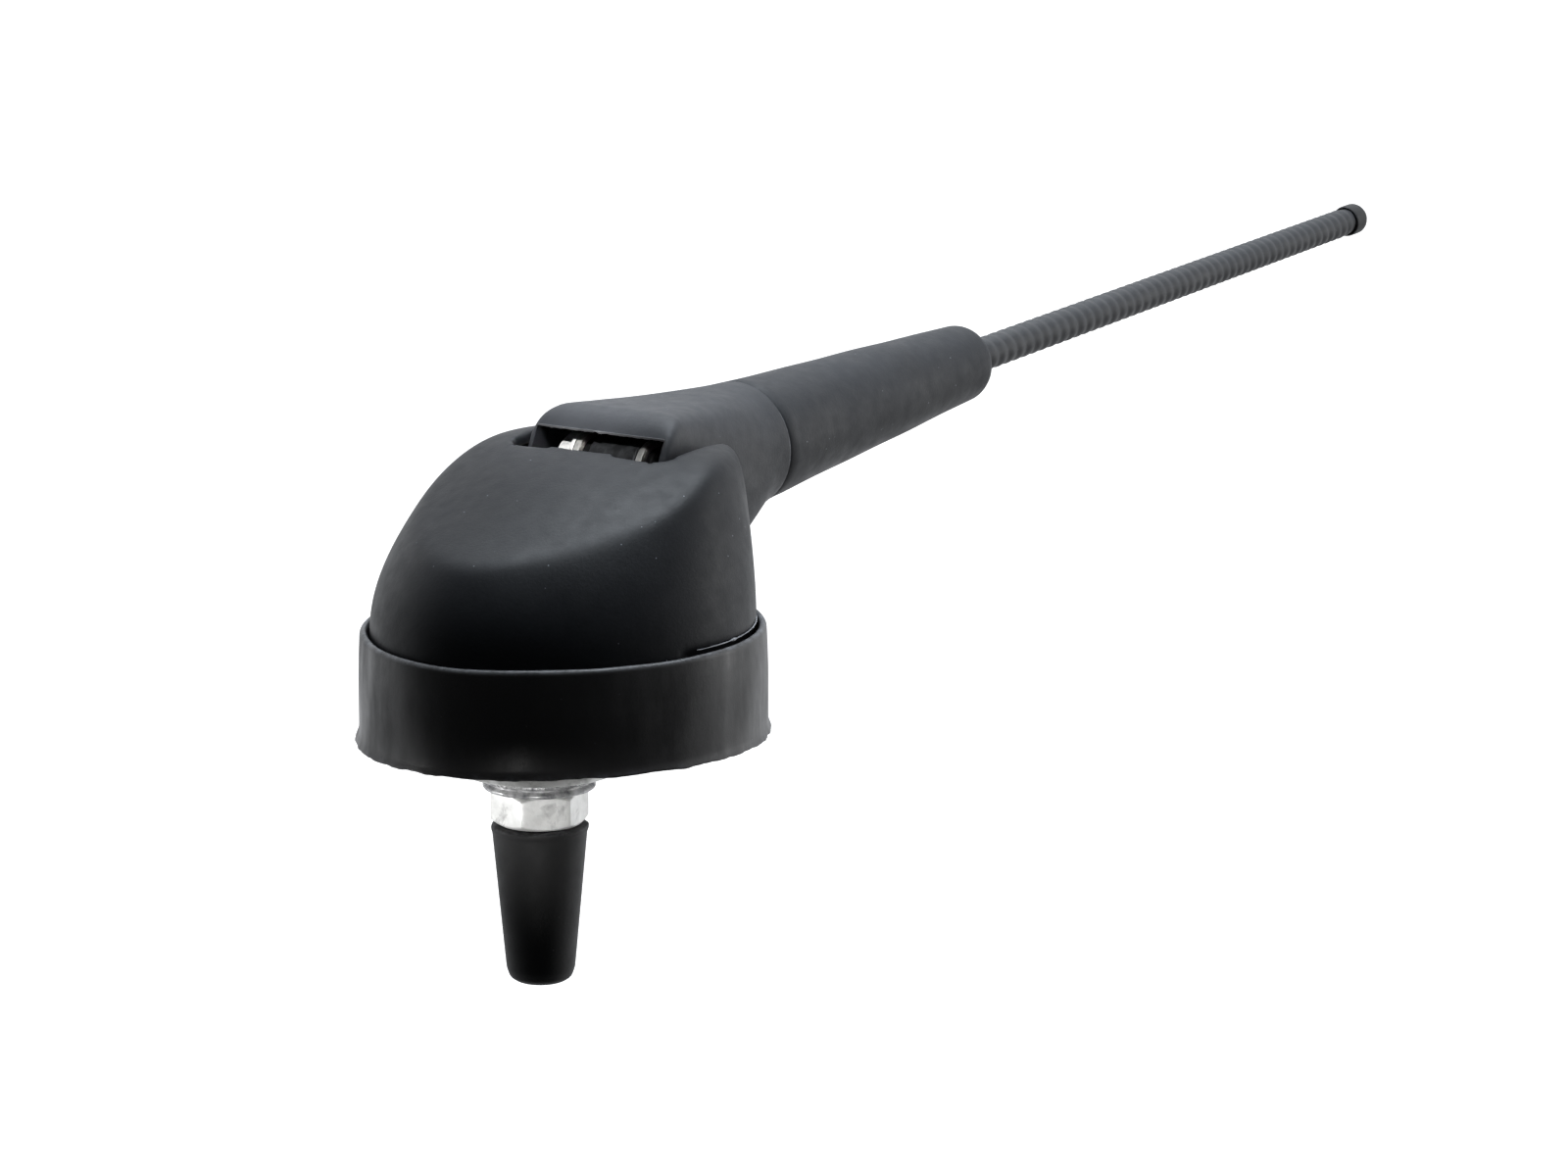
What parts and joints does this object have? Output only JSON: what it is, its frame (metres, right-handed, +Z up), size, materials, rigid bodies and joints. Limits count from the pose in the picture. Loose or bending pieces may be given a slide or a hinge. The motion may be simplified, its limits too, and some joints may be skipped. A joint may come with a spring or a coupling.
{
  "type": "tilting vehicle roof antenna",
  "caption": "Vehicle roof antenna: domed rubber base with skirt, tilting arm, screw-in ribbed whip, and a threaded roof stud with clamp washer, hex nut and push-on cap.",
  "frame": {"origin": "where the axis of the threaded stud meets the roof surface, which is the underside of the rubber skirt", "axes": "+Z up, away from the roof; +X toward the rear, the way the whip leans; the object is symmetric about Y = 0 apart from the hinge hardware"},
  "size_m": [0.2845, 0.0612, 0.085],
  "materials": {
    "gasket": "satin black rubber",
    "housing": "soft matte dark grey rubber",
    "arm_hood": "soft matte dark grey rubber",
    "mast_boot": "soft matte dark grey rubber",
    "sheath": "matte ribbed rubber sleeve",
    "tip_cap": "matte rubber",
    "seal_ring": "matte rubber",
    "stud_cap": "satin black rubber",
    "base_plate": "plain cast plate",
    "insulator_block": "moulded plastic",
    "stud_insulator": "white insulating sleeve",
    "mounting_stud": "zinc plated",
    "hinge_bracket": "zinc plated",
    "block_screw_1": "plain steel",
    "block_screw_2": "plain steel",
    "bracket_screw_1": "plain steel",
    "bracket_screw_2": "plain steel",
    "centre_pin": "plain brass",
    "contact_strip": "plain brass",
    "pivot_screw": "black oxide steel",
    "pivot_nut": "bright zinc plated",
    "spring_washer": "bright zinc plated",
    "flat_washer": "bright zinc plated",
    "knuckle": "dark metal casting",
    "mast_socket": "threaded brass insert",
    "mast_ferrule": "zinc plated",
    "rod_core": "spring steel",
    "winding": "close-wound wire",
    "claw_washer": "mottled zinc plate",
    "flange_washer": "bright zinc plated",
    "hex_nut": "bright zinc plated"
  },
  "bodies": {
    "base": {"gasket": "gasket", "housing": "housing", "base_plate": "base_plate", "insulator_block": "insulator_block", "block_screw_1": "block_screw_1", "block_screw_2": "block_screw_2", "bracket_screw_1": "bracket_screw_1", "bracket_screw_2": "bracket_screw_2", "mounting_stud": "mounting_stud", "stud_insulator": "stud_insulator", "centre_pin": "centre_pin", "contact_strip": "contact_strip", "hinge_bracket": "hinge_bracket", "pivot_screw": "pivot_screw", "pivot_nut": "pivot_nut", "spring_washer": "spring_washer", "flat_washer": "flat_washer"},
    "arm": {"arm_hood": "arm_hood", "knuckle": "knuckle", "mast_socket": "mast_socket"},
    "whip_seat": {"seal_ring": "seal_ring"},
    "whip": {"mast_ferrule": "mast_ferrule", "mast_boot": "mast_boot", "rod_core": "rod_core", "winding": "winding", "sheath": "sheath", "tip_cap": "tip_cap"},
    "clamp": {"claw_washer": "claw_washer", "flange_washer": "flange_washer"},
    "nut": {"hex_nut": "hex_nut"},
    "cap": {"stud_cap": "stud_cap"}
  },
  "joints": [
    {"name": "mast_tilt", "type": "hinge", "parent": "base", "child": "arm", "pos_m": [0.0208, 0, 0.0379], "axis": [0, -1, 0], "range_deg": [0, 80]},
    {"name": "whip_advance", "type": "slide", "parent": "arm", "child": "whip_seat", "axis": [0.9991, 0, 0.0419], "range_m": [0, 0.0018]},
    {"name": "whip_turn", "type": "hinge", "parent": "whip_seat", "child": "whip", "pos_m": [0.0538, 0, 0.0359], "axis": [0.9991, 0, 0.0419], "range_deg": [0, 720]},
    {"name": "clamp_lift", "type": "slide", "parent": "base", "child": "clamp", "axis": [0, 0, 1], "range_m": [0, 0.0017]},
    {"name": "nut_turn", "type": "hinge", "parent": "clamp", "child": "nut", "pos_m": [0, 0, -0.0105], "axis": [0, 0, 1], "range_deg": [0, 576]},
    {"name": "cap_pull", "type": "slide", "parent": "base", "child": "cap", "axis": [0, 0, -1], "range_m": [0, 0.03]}
  ],
  "couplings": [
    {"joint": "whip_advance", "follows": "whip_turn", "m_per_rad": 0.00012732},
    {"joint": "clamp_lift", "follows": "nut_turn", "m_per_rad": 0.00015915}
  ]
}
